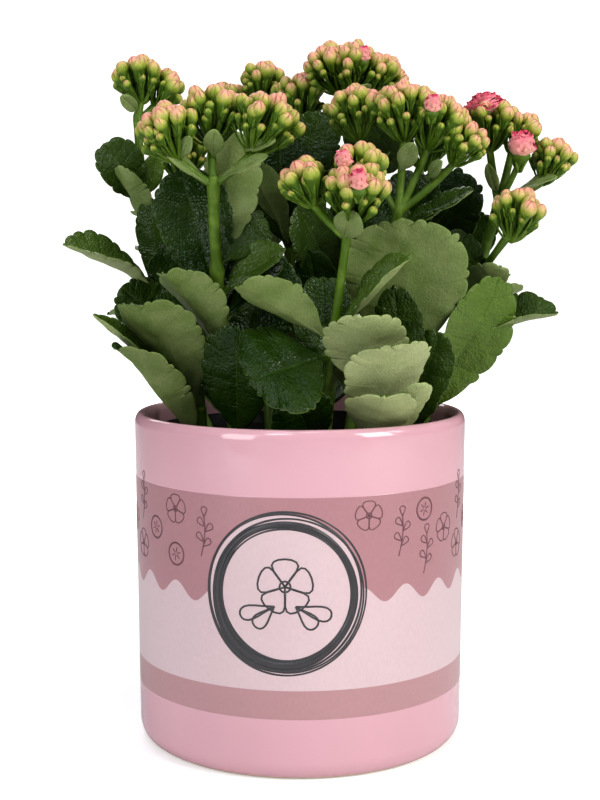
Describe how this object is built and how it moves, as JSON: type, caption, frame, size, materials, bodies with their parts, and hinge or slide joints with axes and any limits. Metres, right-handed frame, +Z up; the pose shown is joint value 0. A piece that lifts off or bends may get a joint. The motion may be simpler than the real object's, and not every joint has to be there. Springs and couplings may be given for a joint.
{
  "type": "potted kalanchoe",
  "caption": "Double-flowered kalanchoe in bud, with scalloped fleshy leaves, in soil in a plastic grow pot inside a round glazed ceramic cover pot.",
  "frame": {"origin": "centre of the cover pot's flat underside", "axes": "+Z up along the pot's axis, -Y towards the viewer of the picture, +X to the viewer's right"},
  "size_m": [0.2065, 0.171, 0.2871],
  "materials": {
    "pot_glaze": "gloss",
    "grow_pot_plastic": "satin",
    "potting_soil": "matte",
    "leaf_and_stem": "satin",
    "flower_buds": "satin"
  },
  "bodies": {
    "root": {"ceramic_pot": "pot_glaze", "grow_pot": "grow_pot_plastic", "soil": "potting_soil", "leafy_stem_left_back": "leaf_and_stem", "leafy_stem_front_left": "leaf_and_stem", "leafy_stem_left_low": "leaf_and_stem", "leafy_stem_back_left": "leaf_and_stem", "leafy_stem_back_mid": "leaf_and_stem", "leafy_stem_back_centre": "leaf_and_stem", "leafy_stem_right_front": "leaf_and_stem", "leafy_stem_right_low": "leaf_and_stem", "leafy_stem_front": "leaf_and_stem", "leafy_stem_front_low": "leaf_and_stem", "leafy_stem_right": "leaf_and_stem", "leafy_stem_rear_left": "leaf_and_stem", "leafy_stem_rear_right": "leaf_and_stem", "leafy_stem_rear": "leaf_and_stem", "flower_head_left_back": "flower_buds", "flower_head_front_left": "flower_buds", "flower_head_back_left": "flower_buds", "flower_head_back_mid": "flower_buds", "flower_head_back_centre": "flower_buds", "flower_head_right_front": "flower_buds", "flower_head_front": "flower_buds", "flower_head_right": "flower_buds", "flower_head_right_side": "flower_buds", "flower_head_rear_left": "flower_buds", "flower_head_rear_right": "flower_buds", "flower_head_rear": "flower_buds"}
  },
  "joints": []
}
